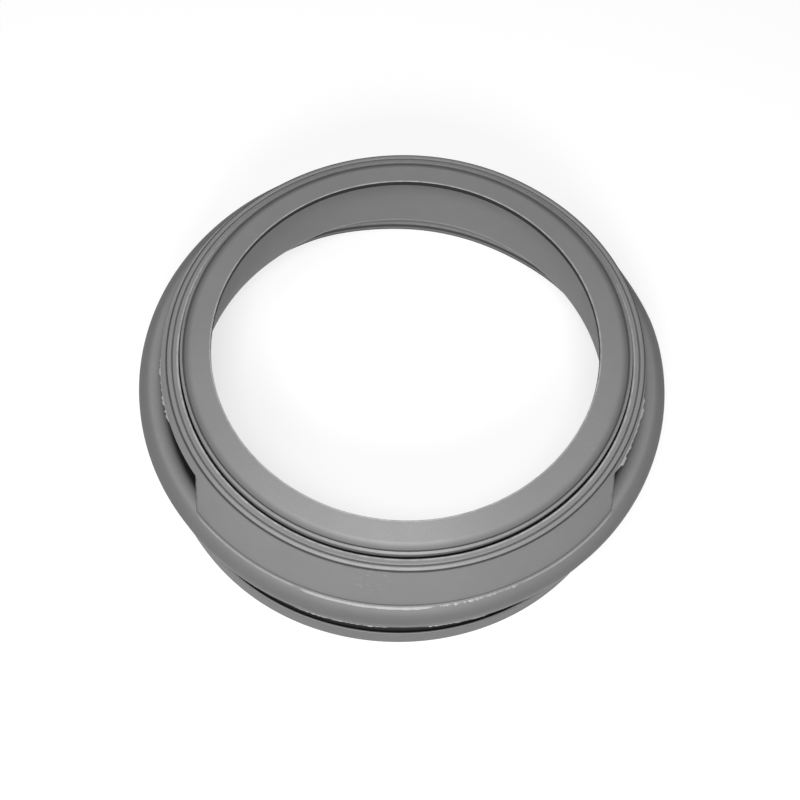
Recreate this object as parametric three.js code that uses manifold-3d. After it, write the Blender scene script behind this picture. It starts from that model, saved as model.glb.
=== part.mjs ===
// Door seal of a front-loading washing machine: one ring of moulded rubber.
//
// Seen from the door inwards, the ring has a flared lip that the door glass presses on, a bead and a
// narrow slit for the front clamp, a stepped rim, a sleeve that folds back on itself, a bulge that is
// the widest part of the ring, a groove for the tub's rim, and a rear flange that seats on the tub.
// Over the near side a web closes the gap between the rim and the bulge.
//
// Units are millimetres. The ring's axis is +Z towards the door, and the rear flange stands on z = 0.
// The middle of the web lies on -Y. As sized here, the bulge is 400 mm across, the door opening is
// 287 mm across and the ring is 124.2 mm deep.

import * as THREE from 'three';
import { mergeVertices } from 'three/addons/utils/BufferGeometryUtils.js';
import Module from 'manifold-3d';

// Sleeve, the thin tube that everything else stands round
const sleeveInnerDiameter = 319;
const sleeveLength = 73.8;
const wall = 3.5;
const foldGap = 9;

// Door lip, measured inwards from the sleeve and upwards from the rim
const lipReach = 16;
const lipRise = 10;
const lipThickness = 2.6;
const lipFall = 5.6;
const lipRootDrop = 6.5;
const lipHollowWidth = 4.5;
const lipHollowDepth = 1.8;

// Bead, clamp slit and stepped rim, from the sleeve outwards
const beadWidth = 3.6;
const beadRise = 1.3;
const beadUndercut = 1.4;
const slitWidth = 1;
const slitDepth = 10;
const innerBandWidth = 5;
const outerBandWidth = 4.1;
const bandStep = 0.4;
const scoreDepth = 0.8;
const scoreWidth = 1;
const ledgeWidth = 2.9;
const ledgeDrop = 7;
const ledgeThickness = 3;
const rimRootThickness = 12;
const rimAboveCrest = 32.4;

// Bulge, measured outwards from the neck
const bulgeReach = 18.9;
const bulgeHeight = 31.3;
const bulgeTaper = 2.6;
const bulgeCornerRadius = 5.8;
const crestRadius = 11.3;
const legBendBelowCrest = 16;

// Rear neck, which clears the fold, and the flange at its foot
const neckClearance = 5.6;
const neckLength = 30;
const neckFillet = 3;
const flangeWidth = 7;
const flangeHeight = 20.5;
const flangeHollow = 6;
const edgeChamfer = 0.8;

// Web over the near side
const webWidth = 300;
const webThickness = 3.5;
const webSeatAngle = THREE.MathUtils.degToRad(8);
const webProud = 0.5;

// Smoothness of the solid
const turns = 64;
const arcTolerance = 0.35;

// Radii that follow from the sizes above
const sleeveInner = sleeveInnerDiameter / 2;
const sleeveOuter = sleeveInner + wall;
const openingRadius = sleeveInner - lipReach;
const slitInner = sleeveOuter + beadWidth;
const slitOuter = slitInner + slitWidth;
const innerScore = slitOuter + innerBandWidth;
const outerScore = innerScore + outerBandWidth;
const ledgeInner = outerScore + scoreWidth / 2;
const ledgeOuter = ledgeInner + ledgeWidth;
const neckInner = sleeveOuter + foldGap + wall + neckClearance;
const flangeRadius = neckInner + flangeWidth;
const bulgeRadius = neckInner + bulgeReach;

// Heights that follow from the sizes above
const bulgeBottomHeight = flangeHeight + neckLength;
const crestHeight = bulgeBottomHeight + bulgeHeight;
const rimHeight = crestHeight + rimAboveCrest;
const outerBandHeight = rimHeight - bandStep;
const ledgeTopHeight = outerBandHeight - scoreDepth;
const ledgeEdgeHeight = ledgeTopHeight - ledgeDrop;
const foldBottomHeight = rimHeight - sleeveLength;
const overallHeight = rimHeight + lipRise;
const creaseHeight = overallHeight - lipFall;
const crestCentre = new THREE.Vector2(bulgeRadius - crestRadius, crestHeight - crestRadius);

const wasm = await Module();
wasm.setup();

// Points of an arc in the section, from one angle to the other, both ends included
function arc(centre, radius, from, to) {
  const step = 2 * Math.acos(1 - arcTolerance / Math.max(radius, 2 * arcTolerance));
  const steps = Math.max(2, Math.ceil(Math.abs(to - from) / step));
  const points = [];
  for (let i = 0; i <= steps; i += 1) {
    const angle = from + ((to - from) * i) / steps;
    const offset = new THREE.Vector2(Math.cos(angle), Math.sin(angle)).multiplyScalar(radius);
    points.push(offset.add(centre));
  }
  return points;
}

// The angle at which a straight wall that starts at a point runs onto a circle, on its near side
function tangentAngle(point, centre, radius) {
  const away = point.clone().sub(centre);
  return away.angle() - Math.acos(Math.min(1, radius / away.length()));
}

// The line that runs beside another one at a distance, to its left when that is positive
function beside(line, distance) {
  return line.map((point, i) => {
    const before = line[Math.max(0, i - 1)];
    const after = line[Math.min(line.length - 1, i + 1)];
    const along = after.clone().sub(before).normalize();
    const into = point.clone().sub(before);
    const lean = into.length() > 0 ? into.normalize().dot(along) : 1;
    const left = new THREE.Vector2(-along.y, along.x);
    return left.multiplyScalar(distance / lean).add(point);
  });
}

// Middle line of the thin wall, from the rear neck over the bulge and through the fold to the rim
function wallMiddle() {
  const half = wall / 2;
  const neck = neckInner + half;
  const shelf = bulgeBottomHeight + half;
  const foot = bulgeRadius - bulgeTaper - half;
  const corner = bulgeCornerRadius - half;
  const fold = new THREE.Vector2(sleeveOuter + foldGap / 2, foldBottomHeight + wall + foldGap / 2);
  const foldRadius = (foldGap + wall) / 2;
  const leg = new THREE.Vector2(fold.x + foldRadius, crestHeight - legBendBelowCrest);
  const landing = tangentAngle(leg, crestCentre, crestRadius - half);
  const neckBend = new THREE.Vector2(neck + neckFillet, shelf - neckFillet);
  const footBend = new THREE.Vector2(foot - corner, shelf + corner);
  return [
    new THREE.Vector2(neck, flangeHeight - flangeHollow),
    ...arc(neckBend, neckFillet, Math.PI, Math.PI / 2),
    ...arc(footBend, corner, -Math.PI / 2, 0),
    ...arc(crestCentre, crestRadius - half, 0, landing),
    leg,
    ...arc(fold, foldRadius, 0, -Math.PI),
    new THREE.Vector2(sleeveInner + half, rimHeight - rimRootThickness),
  ];
}

// A shallow moulded score line across a level band
function score(radius, height) {
  return [
    new THREE.Vector2(radius + scoreWidth / 2, height),
    new THREE.Vector2(radius, height - scoreDepth),
    new THREE.Vector2(radius - scoreWidth / 2, height),
  ];
}

// Stepped rim and clamp slit, from the ledge's underside inwards to the bead
function rimLine() {
  const underLedge = ledgeEdgeHeight - ledgeThickness;
  return [
    new THREE.Vector2(ledgeOuter - ledgeThickness / 2, underLedge),
    new THREE.Vector2(ledgeOuter, ledgeEdgeHeight),
    new THREE.Vector2(ledgeInner, ledgeTopHeight),
    new THREE.Vector2(outerScore, ledgeTopHeight - scoreDepth),
    new THREE.Vector2(outerScore - scoreWidth / 2, outerBandHeight),
    ...score(innerScore, outerBandHeight),
    new THREE.Vector2(innerScore - scoreWidth, rimHeight),
    new THREE.Vector2(slitOuter + edgeChamfer, rimHeight),
    new THREE.Vector2(slitOuter, rimHeight - edgeChamfer),
    new THREE.Vector2(slitOuter, rimHeight - slitDepth),
    new THREE.Vector2(slitInner - beadUndercut, rimHeight - slitDepth),
  ];
}

// Rounded bead, then the lip's face up to its edge and back along its underside
function lipLine() {
  const beadRadius = beadWidth / 2;
  const bead = new THREE.Vector2(sleeveOuter + beadRadius, creaseHeight + beadRise - beadRadius);
  const undercutAngle = -Math.acos(1 - beadUndercut / beadRadius);
  const edgeRadius = lipThickness / 2;
  const edge = new THREE.Vector2(openingRadius + edgeRadius, overallHeight - edgeRadius);
  return [
    ...arc(bead, beadRadius, undercutAngle, Math.PI * 0.8),
    new THREE.Vector2(sleeveOuter - edgeChamfer, creaseHeight),
    new THREE.Vector2(sleeveOuter - lipHollowWidth, creaseHeight + lipHollowDepth),
    ...arc(edge, edgeRadius, Math.PI / 2, Math.PI * 1.5),
    new THREE.Vector2(sleeveInner - lipThickness, creaseHeight - lipThickness),
    new THREE.Vector2(sleeveInner, creaseHeight - lipRootDrop),
  ];
}

// Rear flange, from its inner edge on the floor out and up to the neck
function flangeLine() {
  return [
    new THREE.Vector2(neckInner, 0),
    new THREE.Vector2(flangeRadius - edgeChamfer, 0),
    new THREE.Vector2(flangeRadius, edgeChamfer),
    new THREE.Vector2(flangeRadius, flangeHeight - edgeChamfer),
    new THREE.Vector2(flangeRadius - edgeChamfer, flangeHeight),
  ];
}

// Whole section of the ring, closed on itself
function sealSection() {
  const middle = wallMiddle();
  const outside = beside(middle, -wall / 2);
  const inside = beside(middle, wall / 2).reverse();
  const section = [...flangeLine(), ...outside, ...rimLine(), ...lipLine(), ...inside];
  section.push(section[0].clone());
  return section;
}

// Section of the web, which leaves the ledge's slope and runs down onto the bulge's crest
function webSection() {
  const up = new THREE.Vector2(Math.sin(webSeatAngle), Math.cos(webSeatAngle));
  const seat = up.clone().multiplyScalar(crestRadius + webProud).add(crestCentre);
  const sunk = up.clone().multiplyScalar(crestRadius - wall / 2).add(crestCentre);
  const top = new THREE.Vector2(ledgeInner, ledgeTopHeight);
  const root = new THREE.Vector2(outerScore, ledgeTopHeight - scoreDepth * 2);
  const slope = seat.clone().sub(top).normalize();
  const inward = new THREE.Vector2(slope.y, -slope.x).multiplyScalar(webThickness);
  const section = [
    sunk,
    seat,
    top,
    root,
    top.clone().add(inward),
    seat.clone().add(inward),
  ];
  section.push(section[0].clone());
  return section;
}

// Turns a closed section about the ring's axis
function ring(section) {
  return new THREE.LatheGeometry(section, turns).rotateX(Math.PI / 2);
}

// Makes a solid of a closed mesh
function solid(geometry) {
  const bare = geometry.index ? geometry.toNonIndexed() : geometry.clone();
  bare.deleteAttribute('normal');
  bare.deleteAttribute('uv');
  const merged = mergeVertices(bare, 1e-4);
  const vertProperties = new Float32Array(merged.attributes.position.array);
  const triVerts = new Uint32Array(merged.index.array);
  return new wasm.Manifold(new wasm.Mesh({ numProp: 3, vertProperties, triVerts }));
}

// Makes a mesh geometry of a solid
function geometryOf(body) {
  const mesh = body.getMesh();
  const geometry = new THREE.BufferGeometry();
  geometry.setAttribute('position', new THREE.BufferAttribute(mesh.vertProperties, mesh.numProp));
  geometry.setIndex(new THREE.BufferAttribute(mesh.triVerts, 1));
  geometry.computeVertexNormals();
  return geometry;
}

// The web, cut to its width by two faces that stand square to the ring's side
function web() {
  const reach = 2 * bulgeRadius;
  const side = new THREE.BoxGeometry(webWidth, reach, reach).translate(0, -reach / 2, 0);
  return solid(ring(webSection())).intersect(solid(side));
}

// The whole seal
function doorSeal() {
  const material = new THREE.MeshStandardMaterial({ color: 0x868686, roughness: 0.5, metalness: 0 });
  const mesh = new THREE.Mesh(geometryOf(solid(ring(sealSection())).add(web())), material);
  mesh.name = 'door_seal';
  return mesh;
}

const group = new THREE.Group();
group.add(doorSeal());

export default group;
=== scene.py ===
"""Door seal of a front-loading washing machine: one ring of moulded grey rubber on a pale floor.

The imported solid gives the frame. The ring is turned again here from a section with true fillets, the web
over its near side is joined to it, and the thin flash that a mould leaves along its parting lines is added.
"""

import logging
import math
from dataclasses import dataclass, field, fields
from enum import Enum
from typing import Mapping, Sequence, Union

import bpy
from mathutils import Matrix, Vector


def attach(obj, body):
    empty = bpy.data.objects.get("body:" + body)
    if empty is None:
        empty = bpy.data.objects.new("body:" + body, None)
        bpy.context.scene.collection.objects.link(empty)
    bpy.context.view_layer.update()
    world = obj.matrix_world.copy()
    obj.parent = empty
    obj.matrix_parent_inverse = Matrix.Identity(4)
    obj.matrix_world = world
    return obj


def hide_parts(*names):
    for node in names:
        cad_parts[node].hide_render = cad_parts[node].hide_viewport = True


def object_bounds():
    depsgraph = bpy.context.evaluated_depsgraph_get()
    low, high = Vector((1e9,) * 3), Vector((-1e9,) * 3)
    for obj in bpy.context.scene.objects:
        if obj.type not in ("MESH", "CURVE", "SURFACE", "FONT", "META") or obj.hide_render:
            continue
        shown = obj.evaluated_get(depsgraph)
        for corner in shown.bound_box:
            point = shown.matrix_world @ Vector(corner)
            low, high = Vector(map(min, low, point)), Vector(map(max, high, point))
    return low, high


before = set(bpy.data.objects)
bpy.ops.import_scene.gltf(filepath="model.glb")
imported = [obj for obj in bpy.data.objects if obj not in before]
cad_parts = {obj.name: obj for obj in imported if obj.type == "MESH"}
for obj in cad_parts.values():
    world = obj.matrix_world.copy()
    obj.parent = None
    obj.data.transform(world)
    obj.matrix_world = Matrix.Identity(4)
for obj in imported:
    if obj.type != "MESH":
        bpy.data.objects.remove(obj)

Socket = bpy.types.NodeSocket
Tree = bpy.types.NodeTree
Value = Union[Socket, float]
Sockets = Mapping[str, Socket]

MM = 0.001
BODY = "root"
NODE = "door_seal"
MOULDED_PLACE = "moulded_place"
LOG = logging.getLogger("door_seal")

CAD_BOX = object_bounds()


def socket_id(tree: Tree, name: str) -> str:
    """Finds the identifier of a tree's input.

    Args:
        tree: The node tree.
        name: The input's name.

    Returns:
        The identifier by which a modifier's value is set.
    """
    return next(
        item.identifier
        for item in tree.interface.items_tree
        if item.item_type == "SOCKET" and item.in_out == "INPUT" and item.name == name
    )


class TreeMaker:
    """Builds one node tree from short calls."""

    def __init__(self, tree: Tree) -> None:
        """Starts on an empty tree."""
        self.tree = tree
        self.column = 0

    def add(self, kind: str, **settings: object) -> bpy.types.Node:
        """Adds a node.

        Args:
            kind: The node's type name.
            settings: Properties set on the node.

        Returns:
            The new node.
        """
        node = self.tree.nodes.new(kind)
        node.location = (self.column, 0)
        self.column += 200
        for name, value in settings.items():
            setattr(node, name, value)
        return node

    def put(self, node: bpy.types.Node, values: dict) -> bpy.types.Node:
        """Links or sets a node's inputs.

        Args:
            node: The node.
            values: Input name or index to a value, or to the output socket that feeds it.

        Returns:
            The same node.
        """
        for key, value in values.items():
            if isinstance(value, Socket):
                self.tree.links.new(value, node.inputs[key])
            else:
                node.inputs[key].default_value = value
        return node

    def math(self, operation: str, *values: Value) -> Socket:
        """Adds a maths node.

        Args:
            operation: Its operation.
            values: Numbers or sockets, in order.

        Returns:
            Its output.
        """
        node = self.add("ShaderNodeMath", operation=operation)
        return self.put(node, dict(enumerate(values))).outputs[0]

    def times(self, first: Value, *others: Value) -> Value:
        """Multiplies numbers or sockets, one after the other."""
        for other in others:
            first = self.math("MULTIPLY", first, other)
        return first

    def vector(self, operation: str, *values: Value) -> bpy.types.Node:
        """Adds a vector maths node and returns the node."""
        node = self.add("ShaderNodeVectorMath", operation=operation)
        return self.put(node, dict(enumerate(values)))

    def axes(self, value: Value) -> Sockets:
        """Splits a vector and returns the outputs X, Y and Z."""
        return self.put(self.add("ShaderNodeSeparateXYZ"), {0: value}).outputs

    def joined(self, **axes: Value) -> Socket:
        """Makes a vector from its X, Y and Z, where one left out is zero."""
        return self.put(self.add("ShaderNodeCombineXYZ"), axes).outputs[0]

    def scaled(self, value: Value, scale: Value) -> Socket:
        """Scales a vector."""
        node = self.add("ShaderNodeVectorMath", operation="SCALE")
        return self.put(node, {0: value, "Scale": scale}).outputs[0]

    def noise(self, detail: float, **values: Value) -> Sockets:
        """Adds a noise, four-dimensional where it has a W, and returns its outputs Fac and Color."""
        node = self.add("ShaderNodeTexNoise", noise_dimensions="4D" if "W" in values else "3D")
        return self.put(node, {**values, "Detail": detail}).outputs

    def finish(self, result: Value) -> Tree:
        """Links the tree's one result and returns the tree."""
        self.put(self.add("NodeGroupOutput"), {0: result})
        return self.tree

    def ramp(self, value: Value, low: float, high: float, start: float, end: float) -> Socket:
        """Maps a range smoothly onto another.

        Args:
            value: The number or socket that is mapped.
            low: Where the input range starts.
            high: Where it ends.
            start: What low gives.
            end: What high gives.

        Returns:
            The mapped value.
        """
        node = self.add("ShaderNodeMapRange", interpolation_type="SMOOTHSTEP")
        names = ("Value", "From Min", "From Max", "To Min", "To Max")
        return self.put(node, dict(zip(names, (value, low, high, start, end)))).outputs["Result"]


def started(
    kind: str, name: str, inputs: dict[str, str], output: str, socket: str
) -> tuple[TreeMaker, Sockets]:
    """Starts a node group with one output.

    Args:
        kind: The tree's type name.
        name: The group's name.
        inputs: Input name to the last part of its socket's type name.
        output: The output's name.
        socket: The last part of the output's type name.

    Returns:
        The maker of its tree, and the outputs of its input node.
    """
    tree = bpy.data.node_groups.new(name, kind)
    for label, part in inputs.items():
        tree.interface.new_socket(label, in_out="INPUT", socket_type="NodeSocket" + part)
    tree.interface.new_socket(output, in_out="OUTPUT", socket_type="NodeSocket" + socket)
    maker = TreeMaker(tree)
    return maker, maker.add("NodeGroupInput").outputs


def dressed(maker: TreeMaker, mesh: Value, rubber: Value) -> Tree:
    """Ends a tree of a piece: realizes its instances and sets its material.

    Args:
        maker: The tree's maker.
        mesh: The piece's mesh.
        rubber: Socket of its material.

    Returns:
        The tree.
    """
    real = maker.put(maker.add("GeometryNodeRealizeInstances"), {"Geometry": mesh})
    coated = maker.add("GeometryNodeSetMaterial")
    maker.put(coated, {"Geometry": real.outputs[0], "Material": rubber})
    return maker.finish(coated.outputs[0])


@dataclass(frozen=True)
class Corner:
    """A corner of the section, with the radius that rounds it."""

    radius: float
    height: float
    fillet: float = 0.0

    @property
    def point(self) -> Vector:
        """The corner as a point: distance from the axis, height above the floor."""
        return Vector((self.radius, self.height))


@dataclass
class SealSizes:
    """Sizes of the seal in metres. The widest radius and the depth come from the frame."""

    wall: float = 3.5 * MM
    sleeve_inner: float = 159.5 * MM
    sleeve_length: float = 73.8 * MM
    fold_gap: float = 9 * MM
    lip_reach: float = 16 * MM
    lip_rise: float = 10 * MM
    lip_thickness: float = 2.6 * MM
    lip_edge: float = 4.8 * MM
    lip_fall: float = 5.6 * MM
    lip_root_drop: float = 6.5 * MM
    lip_hollow_width: float = 6.3 * MM
    lip_hollow_depth: float = 1.8 * MM
    bead_offset: float = 1.8 * MM
    bead_width: float = 2.2 * MM
    bead_rise: float = 1.3 * MM
    bead_fall: float = 1.1 * MM
    bead_undercut: float = 1.6 * MM
    slit_width: float = 1.0 * MM
    crease_depth: float = 0.5 * MM
    slit_depth: float = 10 * MM
    inner_band: float = 5 * MM
    outer_band: float = 4.1 * MM
    band_step: float = 0.4 * MM
    score_depth: float = 0.8 * MM
    score_width: float = 1 * MM
    ledge_width: float = 2.9 * MM
    ledge_drop: float = 7 * MM
    ledge_thickness: float = 3 * MM
    rim_root: float = 12 * MM
    rim_above_crest: float = 32.4 * MM
    bulge_height: float = 31.3 * MM
    bulge_taper: float = 2.6 * MM
    bulge_corner: float = 5.8 * MM
    crest_radius: float = 11.3 * MM
    leg_bend: float = 16 * MM
    neck_clearance: float = 5.6 * MM
    neck_length: float = 30 * MM
    neck_fillet: float = 3 * MM
    flange_width: float = 7 * MM
    flange_hollow: float = 6 * MM
    edge_fillet: float = 0.8 * MM
    web_width: float = 300 * MM
    web_thickness: float = 3.5 * MM
    web_seat_angle: float = math.radians(8)
    web_proud: float = 0.5 * MM
    depth: float = field(default_factory=lambda: CAD_BOX[1].z - CAD_BOX[0].z)
    bulge_radius: float = field(default_factory=lambda: (CAD_BOX[1].x - CAD_BOX[0].x) / 2)

    @property
    def sleeve_outer(self) -> float:
        """Outer radius of the sleeve."""
        return self.sleeve_inner + self.wall

    @property
    def opening(self) -> float:
        """Radius of the door opening."""
        return self.sleeve_inner - self.lip_reach

    @property
    def bead_inner(self) -> float:
        """Radius at which the bead rises from the lip's face."""
        return self.sleeve_outer + self.bead_offset

    @property
    def slit_inner(self) -> float:
        """Radius of the clamp slit's inner wall."""
        return self.bead_inner + self.bead_width

    @property
    def slit_outer(self) -> float:
        """Radius of the clamp slit's outer wall."""
        return self.slit_inner + self.slit_width

    @property
    def inner_score(self) -> float:
        """Radius of the score line between the rim's two bands."""
        return self.slit_outer + self.inner_band

    @property
    def outer_score(self) -> float:
        """Radius of the score line between the outer band and the ledge."""
        return self.inner_score + self.outer_band

    @property
    def ledge_inner(self) -> float:
        """Radius at which the ledge starts."""
        return self.outer_score + self.score_width / 2

    @property
    def ledge_outer(self) -> float:
        """Radius of the ledge's edge."""
        return self.ledge_inner + self.ledge_width

    @property
    def neck_inner(self) -> float:
        """Inner radius of the rear neck and flange."""
        return self.sleeve_outer + self.fold_gap + self.wall + self.neck_clearance

    @property
    def flange_outer(self) -> float:
        """Outer radius of the rear flange."""
        return self.neck_inner + self.flange_width

    @property
    def rim_top(self) -> float:
        """Height of the rim's inner band."""
        return self.depth - self.lip_rise

    @property
    def outer_band_top(self) -> float:
        """Height of the rim's outer band."""
        return self.rim_top - self.band_step

    @property
    def ledge_top(self) -> float:
        """Height at which the ledge starts."""
        return self.outer_band_top - self.score_depth

    @property
    def ledge_edge(self) -> float:
        """Height of the ledge's edge."""
        return self.ledge_top - self.ledge_drop

    @property
    def crest_top(self) -> float:
        """Height of the bulge's crest."""
        return self.rim_top - self.rim_above_crest

    @property
    def bulge_bottom(self) -> float:
        """Height of the bulge's underside."""
        return self.crest_top - self.bulge_height

    @property
    def flange_top(self) -> float:
        """Height of the rear flange."""
        return self.bulge_bottom - self.neck_length

    @property
    def crease(self) -> float:
        """Height of the crease between the lip's face and the bead."""
        return self.depth - self.lip_fall

    @property
    def crest_centre(self) -> Vector:
        """Centre of the crest's arc."""
        return Vector((self.bulge_radius - self.crest_radius, self.crest_top - self.crest_radius))

    @property
    def web_seat(self) -> Vector:
        """Point at which the web's face ends on the bulge."""
        up = Vector((math.sin(self.web_seat_angle), math.cos(self.web_seat_angle)))
        return self.crest_centre + up * (self.crest_radius + self.web_proud)


class Outline:
    """Closed outline of a section, with arcs and filleted corners, as points."""

    side_share: float = 0.49
    fillet_step: float = math.radians(24)

    def __init__(self, chord_error: float, longest: float) -> None:
        """Keeps how finely arcs and long stretches are divided.

        Args:
            chord_error: How far a chord may lie from its arc, in metres.
            longest: The longest stretch between two points, in metres.
        """
        self.chord_error = chord_error
        self.longest = longest

    def arc(self, centre: Vector, radius: float, start: float, end: float) -> list[Corner]:
        """Points of an arc, both ends included.

        Args:
            centre: The arc's centre.
            radius: Its radius.
            start: Its first angle in radians.
            end: Its last angle in radians.

        Returns:
            The points, as corners without a fillet.
        """
        step = 2 * math.acos(1 - self.chord_error / max(radius, 2 * self.chord_error))
        count = max(2, math.ceil(abs(end - start) / step))
        angles = [start + (end - start) * i / count for i in range(count + 1)]
        return [Corner(centre.x + radius * math.cos(a), centre.y + radius * math.sin(a)) for a in angles]

    def rounded(self, before: Corner, corner: Corner, after: Corner) -> list[Vector]:
        """Rounds one corner.

        Args:
            before: The corner before it.
            corner: The corner that is rounded.
            after: The corner after it.

        Returns:
            The points of its arc, or the corner itself where it has no fillet.
        """
        into = before.point - corner.point
        out = after.point - corner.point
        if corner.fillet <= 0:
            return [corner.point]
        turn = into.angle(out)
        room = self.side_share * min(into.length, out.length)
        setback = min(corner.fillet / math.tan(turn / 2), room)
        radius = setback * math.tan(turn / 2)
        bisector = (into.normalized() + out.normalized()).normalized()
        centre = corner.point + bisector * (radius / math.sin(turn / 2))
        first = corner.point + into.normalized() * setback - centre
        sweep = first.angle_signed(corner.point + out.normalized() * setback - centre)
        count = max(2, math.ceil(abs(sweep) / self.fillet_step))
        return [
            centre + Matrix.Rotation(-sweep * i / count, 2) @ first
            for i in range(count + 1)
        ]

    def points(self, corners: Sequence[Corner]) -> list[Vector]:
        """Rounds a closed outline's corners and divides its long stretches.

        Args:
            corners: The outline's corners, in order round it.

        Returns:
            Its points, in the same order.
        """
        count = len(corners)
        rounded = [
            point
            for i, corner in enumerate(corners)
            for point in self.rounded(corners[i - 1], corner, corners[(i + 1) % count])
        ]
        divided: list[Vector] = []
        for i, point in enumerate(rounded):
            after = rounded[(i + 1) % len(rounded)]
            parts = max(1, math.ceil((after - point).length / self.longest))
            divided += [point.lerp(after, k / parts) for k in range(parts)]
        return divided


def beside(line: Sequence[Corner], distance: float) -> list[Corner]:
    """The line that runs beside another one.

    Args:
        line: The line's points.
        distance: How far to its left, in metres; negative is to its right.

    Returns:
        The points of the other line.
    """
    moved = []
    for i, corner in enumerate(line):
        before = line[max(0, i - 1)].point
        after = line[min(len(line) - 1, i + 1)].point
        along = (after - before).normalized()
        into = corner.point - before
        lean = into.normalized().dot(along) if into.length > 0 else 1
        point = corner.point + Vector((-along.y, along.x)) * (distance / lean)
        moved.append(Corner(point.x, point.y, corner.fillet))
    return moved


@dataclass
class SealSection:
    """Section of the ring and of its web, with the same sizes as the solid and true fillets."""

    sizes: SealSizes
    chord_error: float = 0.03 * MM
    longest: float = 7 * MM
    bend_fillet: float = 9 * MM
    fine: float = 0.35 * MM
    soft: float = 1.2 * MM

    def wall_middle(self, outline: Outline) -> list[Corner]:
        """Middle line of the thin wall, from the rear neck over the bulge and the fold to the rim."""
        s = self.sizes
        half = s.wall / 2
        neck = s.neck_inner + half
        shelf = s.bulge_bottom + half
        foot = s.bulge_radius - s.bulge_taper - half
        corner = s.bulge_corner - half
        fold_radius = (s.fold_gap + s.wall) / 2
        fold_bottom = s.rim_top - s.sleeve_length
        fold = Vector((s.sleeve_outer + s.fold_gap / 2, fold_bottom + s.wall + s.fold_gap / 2))
        leg = Vector((fold.x + fold_radius, s.crest_top - s.leg_bend))
        away = leg - s.crest_centre
        bearing = math.atan2(away.y, away.x) % math.tau
        landing = bearing - math.acos((s.crest_radius - half) / away.length)
        neck_bend = Vector((neck + s.neck_fillet, shelf - s.neck_fillet))
        foot_bend = Vector((foot - corner, shelf + corner))
        return [
            Corner(neck, s.flange_top - s.flange_hollow),
            *outline.arc(neck_bend, s.neck_fillet, math.pi, math.pi / 2),
            *outline.arc(foot_bend, corner, -math.pi / 2, 0),
            *outline.arc(s.crest_centre, s.crest_radius - half, 0, landing),
            Corner(leg.x, leg.y, self.bend_fillet),
            *outline.arc(fold, fold_radius, 0, -math.pi),
            Corner(s.sleeve_inner + half, s.rim_top - s.rim_root),
        ]

    def score(self, radius: float, height: float) -> list[Corner]:
        """A moulded score line across a level band."""
        half = self.sizes.score_width / 2
        return [
            Corner(radius + half, height, self.fine),
            Corner(radius, height - self.sizes.score_depth, self.fine / 2),
            Corner(radius - half, height, self.fine),
        ]

    def rim(self) -> list[Corner]:
        """Stepped rim and clamp slit, from the ledge's underside inwards."""
        s = self.sizes
        return [
            Corner(s.ledge_outer - s.ledge_thickness / 2, s.ledge_edge - s.ledge_thickness, self.fine),
            Corner(s.ledge_outer, s.ledge_edge, self.fine),
            Corner(s.ledge_inner, s.ledge_top, self.fine),
            Corner(s.outer_score, s.ledge_top - s.score_depth, self.fine / 2),
            Corner(s.outer_score - s.score_width / 2, s.outer_band_top - s.band_step, self.fine),
            Corner(s.inner_score + s.score_width * 1.5, s.rim_top, self.soft),
            *self.score(s.inner_score, s.outer_band_top),
            Corner(s.inner_score - s.score_width, s.rim_top, self.fine),
            Corner(s.slit_outer, s.rim_top, s.edge_fillet),
            Corner(s.slit_outer, s.rim_top - s.slit_depth, self.fine),
            Corner(s.slit_inner - s.bead_undercut, s.rim_top - s.slit_depth, self.fine),
        ]

    def lip(self) -> list[Corner]:
        """Bead, the lip's face up to its edge, and its underside back to the sleeve."""
        s = self.sizes
        bead_top = s.crease + s.bead_rise
        return [
            Corner(s.slit_inner, bead_top - s.bead_fall - self.soft, self.fine),
            Corner(s.slit_inner, bead_top - s.bead_fall, self.fine),
            Corner(s.bead_inner + self.fine, bead_top, self.fine),
            Corner(s.bead_inner - self.fine, s.crease - s.crease_depth, self.fine),
            Corner(s.bead_inner - s.lip_hollow_width, s.crease + s.lip_hollow_depth, self.soft * 3),
            Corner(s.opening, s.depth, self.fine * 1.5),
            Corner(s.opening, s.depth - s.lip_edge, self.fine / 2),
            Corner(s.sleeve_inner - s.lip_thickness, s.crease - s.lip_thickness, self.soft),
            Corner(s.sleeve_inner, s.crease - s.lip_root_drop, self.soft),
        ]

    def flange(self) -> list[Corner]:
        """Rear flange, from its inner edge on the floor out and up to the neck."""
        s = self.sizes
        return [
            Corner(s.neck_inner, 0, self.fine),
            Corner(s.flange_outer, 0, s.edge_fillet),
            Corner(s.flange_outer, s.flange_top, s.edge_fillet),
        ]

    def ring(self) -> list[Vector]:
        """The whole ring's section.

        Returns:
            Its points, in order, counter-clockwise with the axis on the left.
        """
        outline = Outline(self.chord_error, self.longest)
        middle = self.wall_middle(outline)
        outside = beside(middle, -self.sizes.wall / 2)
        inside = beside(middle, self.sizes.wall / 2)[::-1]
        return outline.points([*self.flange(), *outside, *self.rim(), *self.lip(), *inside])

    def web(self) -> list[Vector]:
        """The web's section.

        Returns:
            Its points, in order, counter-clockwise with the axis on the left.
        """
        s = self.sizes
        seat = s.web_seat
        inwards = (s.crest_centre - seat).normalized()
        sunk = seat + inwards * (s.web_proud + s.wall / 2)
        top = Vector((s.ledge_inner, s.ledge_top))
        root = Vector((s.outer_score, s.ledge_top - 2 * s.score_depth))
        slope = (seat - top).normalized()
        back = Vector((slope.y, -slope.x)) * s.web_thickness
        corners = [sunk, seat, top, root, top + back, seat + back]
        fillets = [0, self.fine, 0, 0, 0, 0]
        outline = Outline(self.chord_error, self.longest / 2)
        return outline.points([Corner(p.x, p.y, f) for p, f in zip(corners, fillets)])


class Cut(Enum):
    """Solvers of the boolean node that joins the web to the ring."""

    EXACT = "EXACT"
    MANIFOLD = "MANIFOLD"


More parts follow.
